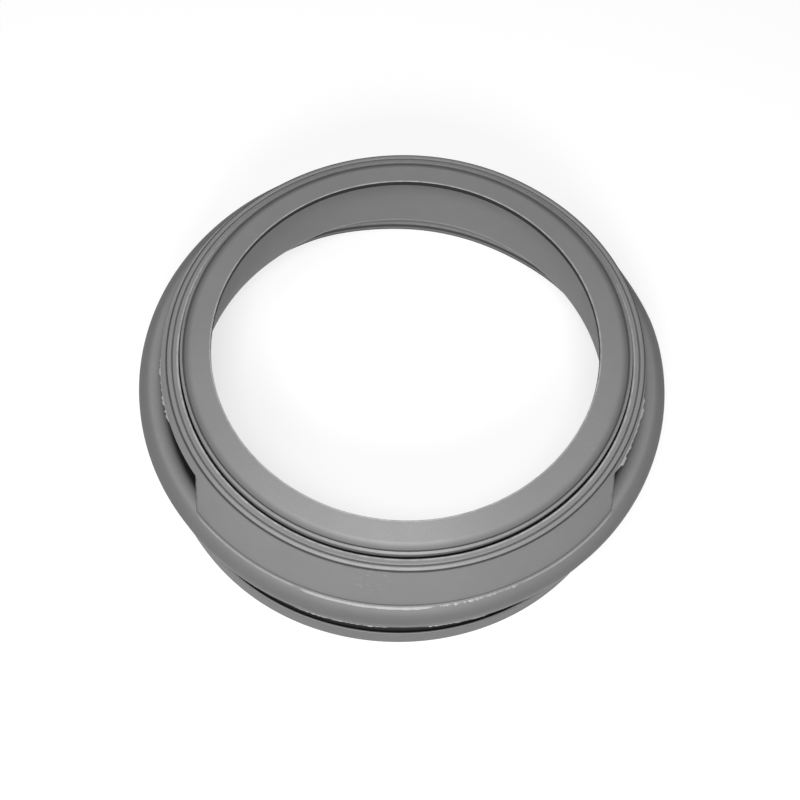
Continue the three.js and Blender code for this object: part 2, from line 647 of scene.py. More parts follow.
def section_object(points: Sequence[Vector], base: float, name: str) -> bpy.types.Object:
    """Makes a closed loop of edges that a tree turns about the axis.

    Args:
        points: The section's points, as radius and height.
        base: Radius of the path that the section is swept along.
        name: The object's name.

    Returns:
        The object, with x measured from the base radius and y downwards.
    """
    mesh = bpy.data.meshes.new(name)
    count = len(points)
    vertices = [(p.x - base, -p.y, 0) for p in reversed(points)]
    mesh.from_pydata(vertices, [(i, (i + 1) % count) for i in range(count)], [])
    made = bpy.data.objects.new(name, mesh)
    bpy.context.scene.collection.objects.link(made)
    return made


def swept(maker: TreeMaker, section: Value, path: Value, ends: bool, scale: Value = 1.0) -> Value:
    """Adds the nodes that sweep a section along a level arc.

    Args:
        maker: The tree's maker.
        section: Socket of the section's object.
        path: Socket of the arc.
        ends: Whether the sweep is open and gets end caps.
        scale: How large the section is along the way.

    Returns:
        The swept mesh.
    """
    info = maker.put(maker.add("GeometryNodeObjectInfo"), {"Object": section})
    profile = maker.put(maker.add("GeometryNodeMeshToCurve"), {"Mesh": info.outputs["Geometry"]})
    level = maker.put(maker.add("GeometryNodeSetCurveNormal", mode="Z_UP"), {"Curve": path})
    sweep = maker.add("GeometryNodeCurveToMesh")
    maker.put(sweep, {
        "Curve": level.outputs[0],
        "Profile Curve": profile.outputs[0],
        "Scale": scale,
        "Fill Caps": ends,
    })
    return sweep.outputs[0]


@dataclass(frozen=True)
class Sector:
    """A sector of the ring: the direction of its middle, turned from +X, and its half width, in degrees."""

    turn: float
    half: float


@dataclass
class RelaxedShape:
    """How the unstretched ring lies: it leans, its rim and lip sit a little off the axis, and it waves."""

    sizes: SealSizes
    lean: float = 0.036
    lean_height: float = 73 * MM
    rim_shift: float = 1.5 * MM
    lip_shift: float = 1.5 * MM
    lip_squeeze: float = 0.5 * MM
    lip_drift: float = 0.9 * MM
    far_draw: float = 1.9 * MM
    base_spread: float = 2.0 * MM
    bulge_spread: float = 1.5 * MM
    bulge_draw: float = 2.2 * MM
    fold_draw: float = 2.6 * MM
    wave: float = 0.25 * MM
    wave_scale: float = 1.1
    seed: float = 4.0
    near: Sector = Sector(-90, 60)
    right: Sector = Sector(-22, 50)
    far_right: Sector = Sector(46, 36)
    far: Sector = Sector(76, 36)
    far_left: Sector = Sector(148, 44)
    far_half: tuple[float, float] = (-0.1, 0.3)
    far_stretch: tuple[float, float] = (0.4, 1.1)

    def inputs(self) -> dict[str, float]:
        """Names and values of the group's inputs: every field that is a number."""
        values = {f.name.replace("_", " ").title(): getattr(self, f.name) for f in fields(self)}
        return {name: value for name, value in values.items() if isinstance(value, float)}

    def sideways(
        self, maker: TreeMaker, inputs: Sockets, height: Value, lip: Value, across: Value
    ) -> Value:
        """Adds the shift along X: the lean, the rim's shift, and the lip's drift and narrower width."""
        s = self.sizes
        above = maker.math("SUBTRACT", height, inputs["Lean Height"])
        lean = maker.times(above, inputs["Lean"])
        rim = maker.times(maker.ramp(height, s.ledge_edge, s.rim_top, 0.0, 1.0), inputs["Rim Shift"])
        narrowed = maker.math("MULTIPLY_ADD", across, inputs["Lip Squeeze"], inputs["Lip Drift"])
        return maker.math("SUBTRACT", maker.math("ADD", lean, rim), maker.times(lip, narrowed))

    def nearer(self, maker: TreeMaker, inputs: Sockets, axes: Sockets, radius: Value, lip: Value) -> Value:
        """Adds the shift along Y, which draws the far side of lip and rim towards the near side."""
        s = self.sizes
        farther = maker.ramp(axes["Y"], -s.opening, s.opening, 0.0, 1.0)
        sunk = maker.times(lip, farther, inputs["Lip Shift"])
        far = maker.ramp(axes["Y"], *(s.opening * share for share in self.far_stretch), 0.0, 1.0)
        band = maker.ramp(radius, s.sleeve_inner, s.slit_inner, 0.0, 1.0)
        rim = maker.ramp(axes["Z"], s.ledge_edge - s.rim_root / 2, s.ledge_edge, 0.0, 1.0)
        drawn = maker.times(far, band, rim)
        return maker.times(maker.math("MULTIPLY_ADD", drawn, inputs["Far Draw"], sunk), -1.0)

    @staticmethod
    def within(maker: TreeMaker, outward: Value, sector: Sector) -> Socket:
        """Adds a mask that is one in the middle of a sector and none outside it."""
        turn, half = math.radians(sector.turn), math.radians(sector.half)
        nearness = maker.vector("DOT_PRODUCT", outward, (math.cos(turn), math.sin(turn), 0)).outputs["Value"]
        return maker.ramp(nearness, math.cos(half), math.cos(half / 3), 0.0, 1.0)

    def spread(
        self, maker: TreeMaker, inputs: Sockets, outward: Value, radius: Value, height: Value
    ) -> Value:
        """Adds the radial shift of the base, of the bulge's right and far right side, and of the fold.

        Args:
            maker: The tree's maker.
            inputs: The group's inputs.
            outward: Direction away from the axis.
            radius: Distance from the axis.
            height: Height above the floor.

        Returns:
            The shift, outwards.
        """
        s = self.sizes
        farther = maker.ramp(maker.axes(outward)["Y"], *self.far_half, 0.0, 1.0)
        beside_far = maker.math("SUBTRACT", farther, self.within(maker, outward, self.far))
        free = maker.math("MAXIMUM", self.within(maker, outward, self.near), beside_far)
        low = maker.ramp(height, s.flange_top, s.bulge_bottom, 1.0, 0.0)
        outer = maker.ramp(radius, s.neck_inner - s.neck_clearance, s.neck_inner, 0.0, 1.0)
        base = maker.times(low, outer, free, inputs["Base Spread"])
        high = maker.math("SUBTRACT", 1.0, low)
        wide = maker.ramp(radius, s.crest_centre.x - s.crest_radius, s.bulge_radius, 0.0, 1.0)
        swell = maker.times(self.within(maker, outward, self.right), inputs["Bulge Spread"])
        back = maker.times(self.within(maker, outward, self.far_right), inputs["Bulge Draw"])
        grown_out = maker.math("SUBTRACT", swell, back)
        shift = maker.math("MULTIPLY_ADD", maker.times(high, wide), grown_out, base)
        deep = maker.ramp(height, s.bulge_bottom, s.crest_top, 1.0, 0.0)
        inner = maker.ramp(radius, s.sleeve_outer, s.neck_inner, 1.0, 0.0)
        fold = maker.times(deep, inner, self.within(maker, outward, self.far_left), inputs["Fold Draw"])
        return maker.math("SUBTRACT", shift, fold)

    def tree(self) -> Tree:
        """Builds the group that moves a mesh from its moulded shape to the one in which it lies.

        Returns:
            The Geometry Nodes group, with the mesh and each size as inputs.
        """
        sockets = {"Mesh": "Geometry", **dict.fromkeys(self.inputs(), "Float")}
        maker, inputs = started("GeometryNodeTree", "relaxed_shape", sockets, "Mesh", "Geometry")
        axes = maker.axes(maker.add("GeometryNodeInputPosition").outputs[0])
        level = maker.joined(X=axes["X"], Y=axes["Y"])
        radius = maker.vector("LENGTH", level).outputs["Value"]
        outward = maker.vector("NORMALIZE", level).outputs[0]
        across = maker.axes(outward)["X"]
        lifted = maker.joined(Z=maker.math("DIVIDE", axes["Z"], self.sizes.depth))
        sample = maker.vector("ADD", outward, lifted).outputs[0]
        noise = maker.noise(0.0, Vector=sample, W=inputs["Seed"], Scale=inputs["Wave Scale"])
        swing = maker.axes(maker.vector("SUBTRACT", noise["Color"], (0.5, 0.5, 0.5)).outputs[0])
        planted = maker.ramp(axes["Z"], 0.0, self.sizes.flange_top, 0.0, 1.0)
        radial = maker.times(swing["X"], inputs["Wave"], 2.0)
        radial = maker.math("ADD", radial, self.spread(maker, inputs, outward, radius, axes["Z"]))
        lip = maker.ramp(radius, self.sizes.opening, self.sizes.sleeve_inner, 1.0, 0.0)
        shift = maker.joined(
            X=self.sideways(maker, inputs, axes["Z"], lip, across),
            Y=self.nearer(maker, inputs, axes, radius, lip),
            Z=maker.times(swing["Y"], inputs["Wave"], planted),
        )
        offset = maker.vector("ADD", maker.scaled(outward, radial), shift).outputs[0]
        moved = maker.add("GeometryNodeSetPosition")
        maker.put(moved, {"Geometry": inputs["Mesh"], "Offset": offset})
        return maker.finish(moved.outputs[0])


def relaxed(maker: TreeMaker, mesh: Value, shape: Tree, values: dict) -> Value:
    """Keeps each point's moulded place as an attribute and moves the mesh as the ring lies.

    Args:
        maker: The tree's maker.
        mesh: The mesh that is moved.
        shape: The group of the relaxed shape.
        values: The values of the group's inputs.

    Returns:
        The moved mesh.
    """
    place = maker.add("GeometryNodeInputPosition").outputs[0]
    kept = maker.add("GeometryNodeStoreNamedAttribute", data_type="FLOAT_VECTOR", domain="POINT")
    maker.put(kept, {"Geometry": mesh, "Name": MOULDED_PLACE, "Value": place})
    moved = maker.add("GeometryNodeGroup", node_tree=shape)
    return maker.put(moved, {"Mesh": kept.outputs[0], **values}).outputs[0]


@dataclass
class SealRing:
    """The moulded ring with its web: two turned sections joined into one skin."""

    sizes: SealSizes
    shape: RelaxedShape
    turns: int = 360
    web_sweep: float = math.radians(130)
    cut: Cut = Cut.MANIFOLD
    sharp_angle: float = math.radians(50)
    name: str = "door_seal_skin"

    def tree(self, shape: Tree) -> Tree:
        """Builds the tree that turns the sections, cuts the web to its width and joins it.

        Args:
            shape: The group of the relaxed shape.

        Returns:
            The Geometry Nodes tree.
        """
        sockets = {
            "Ring Section": "Object",
            "Web Section": "Object",
            "Base Radius": "Float",
            "Turns": "Int",
            "Web Sweep": "Float",
            "Web Width": "Float",
            "Sharp Angle": "Float",
            "Rubber": "Material",
        }
        maker, inputs = started("GeometryNodeTree", "turned_seal", sockets, "Mesh", "Geometry")
        circle = maker.add("GeometryNodeCurvePrimitiveCircle")
        maker.put(circle, {"Resolution": inputs["Turns"], "Radius": inputs["Base Radius"]})
        ring = swept(maker, inputs["Ring Section"], circle.outputs["Curve"], False)
        arc = maker.add("GeometryNodeCurveArc")
        share = maker.math("DIVIDE", inputs["Web Sweep"], math.tau)
        steps = maker.times(inputs["Turns"], share)
        start = maker.math("MULTIPLY_ADD", inputs["Web Sweep"], -0.5, -math.pi / 2)
        maker.put(arc, {
            "Resolution": steps,
            "Radius": inputs["Base Radius"],
            "Start Angle": start,
            "Sweep Angle": inputs["Web Sweep"],
        })
        web = swept(maker, inputs["Web Section"], arc.outputs["Curve"], True)
        span = maker.times(inputs["Base Radius"], 3.0)
        size = maker.joined(X=inputs["Web Width"], Y=span, Z=span)
        box = maker.put(maker.add("GeometryNodeMeshCube"), {"Size": size})
        trimmed = maker.add("GeometryNodeMeshBoolean", operation="INTERSECT", solver=self.cut.value)
        maker.put(trimmed, {"Mesh 2": web})
        maker.tree.links.new(box.outputs["Mesh"], trimmed.inputs["Mesh 2"])
        joined = maker.add("GeometryNodeMeshBoolean", operation="UNION", solver=self.cut.value)
        maker.put(joined, {"Mesh 2": ring})
        maker.tree.links.new(trimmed.outputs["Mesh"], joined.inputs["Mesh 2"])
        lying = relaxed(maker, joined.outputs["Mesh"], shape, self.shape.inputs())
        smooth = maker.add("GeometryNodeSetShadeSmooth", domain="FACE")
        maker.put(smooth, {"Geometry": lying, "Shade Smooth": True})
        angle = maker.add("GeometryNodeInputMeshEdgeAngle").outputs["Unsigned Angle"]
        sharp = maker.add("FunctionNodeCompare", operation="GREATER_THAN")
        maker.put(sharp, {0: angle, 1: inputs["Sharp Angle"]})
        creased = maker.add("GeometryNodeSetShadeSmooth", domain="EDGE")
        maker.put(creased, {
            "Geometry": smooth.outputs[0],
            "Selection": sharp.outputs[0],
            "Shade Smooth": False,
        })
        return dressed(maker, creased.outputs[0], inputs["Rubber"])

    def build(self, rubber: bpy.types.Material, shape: Tree) -> bpy.types.Object:
        """Turns the ring and its web.

        Args:
            rubber: The ring's material.
            shape: The group of the relaxed shape.

        Returns:
            The ring as a plain mesh at the origin.
        """
        section = SealSection(self.sizes)
        base = self.sizes.bulge_radius
        ring = section_object(section.ring(), base, "ring_section")
        web = section_object(section.web(), base, "web_section")
        values = {
            "Ring Section": ring,
            "Web Section": web,
            "Base Radius": base,
            "Turns": self.turns,
            "Web Sweep": self.web_sweep,
            "Web Width": self.sizes.web_width,
            "Sharp Angle": self.sharp_angle,
            "Rubber": rubber,
        }
        return grown(self.name, self.tree(shape), values, (ring, web))


def grown(
    name: str, tree: Tree, values: dict, helpers: Sequence[bpy.types.Object]
) -> bpy.types.Object:
    """Evaluates a Geometry Nodes tree and keeps its result as a plain mesh.

    Args:
        name: The new object's name.
        tree: The tree.
        values: Input name to value.
        helpers: Objects that the tree reads, deleted afterwards.

    Returns:
        The finished object, with no modifier left on it.
    """
    made = bpy.data.objects.new(name, bpy.data.meshes.new(name))
    bpy.context.scene.collection.objects.link(made)
    modifier = made.modifiers.new("grow", "NODES")
    modifier.node_group = tree
    for label, value in values.items():
        modifier[socket_id(tree, label)] = value
    weighted = made.modifiers.new("even_shading", "WEIGHTED_NORMAL")
    weighted.keep_sharp = True
    graph = bpy.context.evaluated_depsgraph_get()
    mesh = bpy.data.meshes.new_from_object(made.evaluated_get(graph), depsgraph=graph)
    made.modifiers.clear()
    made.data = mesh
    mesh.name = name
    for helper in helpers:
        bpy.data.objects.remove(helper, do_unlink=True)
    LOG.info("%s: %d faces", name, len(mesh.polygons))
    return made


@dataclass
class PartingFlash:
    """Thin ragged fin that the mould leaves along one stretch of a parting line.

    NUMBERS names the fields that are inputs of its tree.
    """

    name: str
    radius: float
    height: float
    start: float
    sweep: float
    aim: float
    reach: float
    thickness: float = 0.3 * MM
    sunk: float = 0.5 * MM
    step: float = 0.7 * MM
    grain: float = 420.0
    ragged: float = 0.15 * MM
    lowest: float = 0.15
    seed: float = 1.0
    tip_share: float = 0.4

    NUMBERS = ("Radius", "Height", "Start", "Sweep", "Grain", "Ragged", "Lowest", "Seed")

    @classmethod
    def between(
        cls, name: str, place: tuple[float, float], turn: tuple[float, float], aim: float, **more: float
    ) -> "PartingFlash":
        """A fin between two angles.

        Args:
            name: The fin's name.
            place: Its root, as radius and height.
            turn: Where it starts and ends, in degrees to the right of the near side.
            aim: Degrees by which it points above the level.
            more: Other fields.

        Returns:
            The fin.
        """
        start, end = (math.radians(angle - 90) for angle in turn)
        return cls(name, *place, start, end - start, math.radians(aim), **more)

    def section(self) -> list[Vector]:
        """The fin's section about its root, counter-clockwise: outwards and upwards."""
        along = Vector((math.cos(self.aim), math.sin(self.aim)))
        side = Vector((-along.y, along.x)) * (self.thickness / 2)
        root = -along * self.sunk
        tip = along * self.reach
        return [root - side, tip - side * self.tip_share, tip + side * self.tip_share, root + side]

    @staticmethod
    def tree(shape: Tree, lie: dict) -> Tree:
        """Builds the tree that sweeps a fin along an arc with a ragged height.

        Args:
            shape: The group of the relaxed shape.
            lie: The values of that group's inputs.

        Returns:
            The Geometry Nodes tree that every stretch of flash uses.
        """
        sockets = dict.fromkeys(PartingFlash.NUMBERS, "Float")
        sockets |= {"Section": "Object", "Steps": "Int", "Rubber": "Material"}
        maker, inputs = started("GeometryNodeTree", "parting_flash", sockets, "Mesh", "Geometry")
        arc = maker.put(maker.add("GeometryNodeCurveArc"), {
            "Resolution": inputs["Steps"],
            "Radius": inputs["Radius"],
            "Start Angle": inputs["Start"],
            "Sweep Angle": inputs["Sweep"],
        })
        lifted = maker.add("GeometryNodeTransform")
        rise = maker.joined(Z=inputs["Height"])
        maker.put(lifted, {"Geometry": arc.outputs["Curve"], "Translation": rise})
        noise = maker.noise(2.0, W=inputs["Seed"], Scale=inputs["Grain"])
        low, high = 0.38, 0.68
        tall = maker.ramp(noise["Fac"], low, high, inputs["Lowest"], 1.0)
        factor = maker.add("GeometryNodeSplineParameter").outputs["Factor"]
        fade, thinnest = 0.1, 0.05
        opening = maker.ramp(factor, 0.0, fade, thinnest, 1.0)
        closing = maker.ramp(factor, 1 - fade, 1.0, 1.0, thinnest)
        size = maker.times(tall, maker.times(opening, closing))
        fin = swept(maker, inputs["Section"], lifted.outputs[0], True, size)
        finer = 2.5
        crumbs = maker.noise(1.0, W=inputs["Seed"], Scale=maker.times(inputs["Grain"], finer))
        centred = maker.vector("SUBTRACT", crumbs["Color"], (0.5, 0.5, 0.5)).outputs[0]
        jitter = maker.scaled(centred, inputs["Ragged"])
        torn = maker.put(maker.add("GeometryNodeSetPosition"), {"Geometry": fin, "Offset": jitter})
        return dressed(maker, relaxed(maker, torn.outputs[0], shape, lie), inputs["Rubber"])

    def build(self, tree: Tree, rubber: bpy.types.Material) -> bpy.types.Object:
        """Grows this stretch of flash.

        Args:
            tree: The tree of the flash.
            rubber: Its material.

        Returns:
            The fin as a plain mesh at the origin.
        """
        section = section_object(self.section(), 0.0, self.name + "_section")
        values = {name: getattr(self, name.lower()) for name in self.NUMBERS}
        steps = math.ceil(self.radius * self.sweep / self.step)
        values |= {"Section": section, "Steps": steps, "Rubber": rubber}
        return grown(self.name, tree, values, (section,))


def flash_lines(sizes: SealSizes) -> list[PartingFlash]:
    """The stretches of flash that show on this seal.

    Args:
        sizes: The seal's sizes.

    Returns:
        One fin for each stretch, with its place on the section and its angles about the axis.
    """
    seat = sizes.web_seat
    web_half = math.degrees(math.asin(sizes.web_width / 2 / seat.x))
    smooth, dashed = 7, 25
    foot = (seat.x + 1.8 * MM, seat.y - 0.7 * MM)
    underside = (sizes.bulge_radius - sizes.bulge_taper - 0.3 * MM, sizes.bulge_bottom + 3.5 * MM)
    ledge = (sizes.ledge_outer, sizes.ledge_edge)
    fin = PartingFlash.between
    even = {"thickness": 0.6 * MM, "ragged": 0.04 * MM, "lowest": 0.8}
    torn = {"ragged": 0.2 * MM}
    return [
        fin("web_foot_left", foot, (-web_half, -22), -24, reach=0.4 * MM, seed=1.0, **even),
        fin("web_foot_middle", foot, (-24, smooth), -24, reach=1.5 * MM, seed=2.0, **even),
        fin("web_foot_flash", foot, (smooth - 1, dashed), -15, reach=1.6 * MM, ragged=0.3 * MM, seed=3.0),
        fin("web_foot_right", foot, (dashed - 1, web_half), -24, reach=0.35 * MM, seed=4.0, **even),
        fin("ledge_flash_left", ledge, (-89, -71), 5, reach=1.4 * MM, seed=5.0),
        fin("ledge_flash_right", ledge, (56.5, 78), -10, reach=2.0 * MM, lowest=0.4, grain=260.0, seed=8.0),
        fin("bulge_flash_left", underside, (-24, -3), -30, reach=0.6 * MM, seed=11.0, **torn),
        fin("bulge_flash_right", underside, (4, 18), -30, reach=0.7 * MM, seed=12.0, **torn),
    ]


class SurfaceEffects:
    """Shader groups that the finishes share, all on the ring's moulded place."""

    def __init__(self) -> None:
        """Builds every group once."""
        self.mottle = self.mottle_group()
        self.skin = self.skin_group()
        self.ring_line = self.ring_line_group()
        self.recess = self.recess_group()
        self.dust = self.dust_group()
        self.scuffs = self.scuff_group()

    @staticmethod
    def start(name: str, inputs: Sequence[str], output: str) -> tuple[TreeMaker, Sockets]:
        """Starts a shader group.

        Args:
            name: The group's name.
            inputs: Names of its number inputs.
            output: Name of its number output.

        Returns:
            The maker of its tree, and the outputs of its input node.
        """
        return started("ShaderNodeTree", name, dict.fromkeys(inputs, "Float"), output, "Float")

    @staticmethod
    def place(maker: TreeMaker) -> tuple[Socket, Socket, Socket]:
        """Adds the moulded place and returns it with its radius and its height."""
        spot = maker.add("ShaderNodeAttribute", attribute_name=MOULDED_PLACE).outputs["Vector"]
        axes = maker.axes(spot)
        level = maker.joined(X=axes["X"], Y=axes["Y"])
        return spot, maker.vector("LENGTH", level).outputs["Value"], axes["Z"]

    def mottle_group(self) -> Tree:
        """Cloudy tone of moulded rubber: a factor about one for the base colour."""
        maker, inputs = self.start("rubber_mottle", ("Scale", "Contrast"), "Tone")
        spot, _, _ = self.place(maker)
        finer, patch_share = 11.0, 0.45
        broad = maker.math("SUBTRACT", maker.noise(3.0, Vector=spot, Scale=inputs["Scale"])["Fac"], 0.5)
        patches = maker.noise(4.0, Vector=spot, Scale=maker.times(inputs["Scale"], finer))["Fac"]
        both = maker.math("MULTIPLY_ADD", maker.math("SUBTRACT", patches, 0.5), patch_share, broad)
        return maker.finish(maker.math("MULTIPLY_ADD", both, inputs["Contrast"], 1.0))

    def skin_group(self) -> Tree:
        """Fine grain of the mould and its faint turning marks, as a height in metres."""
        names = ("Grain Scale", "Grain Depth", "Mark Spacing", "Mark Depth")
        maker, inputs = self.start("moulded_skin", names, "Height")
        spot, radius, height = self.place(maker)
        steepness, wander_scale, wander_reach = 0.8, 9.0, 2 * MM
        patch_scale, bare, marked = 24.0, 0.42, 0.66
        grain = maker.noise(3.0, Vector=spot, Scale=inputs["Grain Scale"])["Fac"]
        across = maker.math("MULTIPLY_ADD", height, steepness, radius)
        wander = maker.times(maker.noise(2.0, Vector=spot, Scale=wander_scale)["Fac"], wander_reach)
        turns = maker.math("DIVIDE", maker.math("ADD", across, wander), inputs["Mark Spacing"])
        wave = maker.math("SINE", maker.times(turns, math.tau))
        patchy = maker.ramp(maker.noise(2.0, Vector=spot, Scale=patch_scale)["Fac"], bare, marked, 0.0, 1.0)
        marks = maker.times(wave, patchy, inputs["Mark Depth"])
        return maker.finish(maker.math("MULTIPLY_ADD", grain, inputs["Grain Depth"], marks))

    def ring_line_group(self) -> Tree:
        """A soft, broken line round the ring where a highlight is painted, as a mask."""
        maker, inputs = self.start("ring_line", ("Radius", "Height", "Reach", "Amount"), "Mask")
        spot, radius, height = self.place(maker)
        break_scale, faint, full, faintest = 160.0, 0.35, 0.6, 0.45
        out = maker.math("SUBTRACT", radius, inputs["Radius"])
        above = maker.math("SUBTRACT", height, inputs["Height"])
        square = maker.math("ADD", maker.times(out, out), maker.times(above, above))
        share = maker.math("DIVIDE", maker.math("SQRT", square), inputs["Reach"])
        breaks = maker.noise(3.0, Vector=spot, Scale=break_scale)["Fac"]
        broken = maker.ramp(breaks, faint, full, faintest, 1.0)
        return maker.finish(maker.times(maker.ramp(share, 0.0, 1.0, 1.0, 0.0), broken, inputs["Amount"]))

    def recess_group(self) -> Tree:
        """Painted shade between two radii and two heights, as a mask."""
        names = ("Inner", "Outer", "Bottom", "Top", "Soft", "Farthest", "Amount")
        maker, inputs = self.start("recess_skin", names, "Mask")
        spot, radius, height = self.place(maker)
        mask = maker.math("LESS_THAN", maker.axes(spot)["Y"], inputs["Farthest"])
        for value, low, high in ((radius, "Inner", "Outer"), (height, "Bottom", "Top")):
            above = maker.math("DIVIDE", maker.math("SUBTRACT", value, inputs[low]), inputs["Soft"])
            below = maker.math("DIVIDE", maker.math("SUBTRACT", inputs[high], value), inputs["Soft"])
            mask = maker.times(mask, maker.ramp(maker.math("MINIMUM", above, below), 0.0, 1.0, 0.0, 1.0))
        return maker.finish(maker.times(mask, inputs["Amount"]))

    def dust_group(self) -> Tree:
        """Fine pale powder that settles on faces that look up, as a mask."""
        maker, inputs = self.start("settled_powder", ("Scale", "Amount"), "Mask")
        spot, _, _ = self.place(maker)
        steep, level = 0.2, 0.95
        sparse, dense = 0.5, 0.78
        film_scale, thin, thick, thinnest = 14.0, 0.35, 0.75, 0.1
        up = maker.axes(maker.add("ShaderNodeNewGeometry").outputs["Normal"])["Z"]
        flat = maker.ramp(up, steep, level, 0.0, 1.0)
        grains = maker.noise(5.0, Vector=spot, Scale=inputs["Scale"])["Fac"]
        specks = maker.ramp(grains, sparse, dense, 0.0, 1.0)
        film = maker.ramp(maker.noise(3.0, Vector=spot, Scale=film_scale)["Fac"], thin, thick, thinnest, 1.0)
        return maker.finish(maker.times(flat, specks, film, inputs["Amount"]))

    def scuff_group(self) -> Tree:
        """Short fine creases and scratches round one spot of the seal, as a mask."""
        maker, inputs = self.start("short_scuffs", ("X", "Y", "Z", "Reach", "Scale"), "Mask")
        spot, _, _ = self.place(maker)
        bend_scale, bend_reach = 60.0, 14 * MM
        fade_from, line_width = 0.35, 0.05
        tear_scale, torn_low, torn_high = 210.0, 0.45, 0.6
        centre = maker.joined(**{axis: inputs[axis] for axis in "XYZ"})
        away = maker.vector("DISTANCE", spot, centre).outputs["Value"]
        near = maker.ramp(maker.math("DIVIDE", away, inputs["Reach"]), fade_from, 1.0, 1.0, 0.0)
        pushed = maker.scaled(maker.noise(2.0, Vector=spot, Scale=bend_scale)["Color"], bend_reach)
        cells = maker.add("ShaderNodeTexVoronoi", feature="DISTANCE_TO_EDGE")
        maker.put(cells, {"Vector": maker.vector("ADD", spot, pushed).outputs[0], "Scale": inputs["Scale"]})
        line = maker.ramp(cells.outputs["Distance"], 0.0, line_width, 1.0, 0.0)
        tears = maker.noise(1.0, Vector=spot, Scale=tear_scale)["Fac"]
        torn = maker.ramp(tears, torn_low, torn_high, 0.0, 1.0)
        return maker.finish(maker.times(line, torn, near))


@dataclass(frozen=True)
class Span:
    """A stretch between two sizes of the seal, in metres, each with a margin in millimetres."""

    start: float
    before: float
    end: float
    after: float

    @property
    def ends(self) -> tuple[float, float]:
        """Both ends in metres."""
        return self.start + self.before * MM, self.end + self.after * MM


@dataclass(frozen=True)
class PaintedShade:
    """A place where shade is painted: its skin is darkened and made rougher, by its radii and heights; its
    soft edge is in millimetres.
    """

    radii: Span
    heights: Span
    soft: float
    amount: float = 1.0
    farthest: float = 1.0

    def inputs(self) -> dict[str, float]:
        """Names and values of the mask's inputs, in metres."""
        names = ("Inner", "Outer", "Bottom", "Top")
        lengths = dict(zip(names, (*self.radii.ends, *self.heights.ends)))
        return {**lengths, "Soft": self.soft * MM, "Farthest": self.farthest, "Amount": self.amount}


@dataclass(frozen=True)
class PaintedHighlight:
    """A line round the ring with a painted highlight, lighter and glossier, by its place, its reach and how
    much.
    """

    radius: float
    height: float
    reach: float
    amount: float


@dataclass(frozen=True)
class Scuff:
    """A spot with short creases or scratches, by its place, its reach and how fine they are."""

    place: tuple[float, float, float]
    reach: float
    scale: float


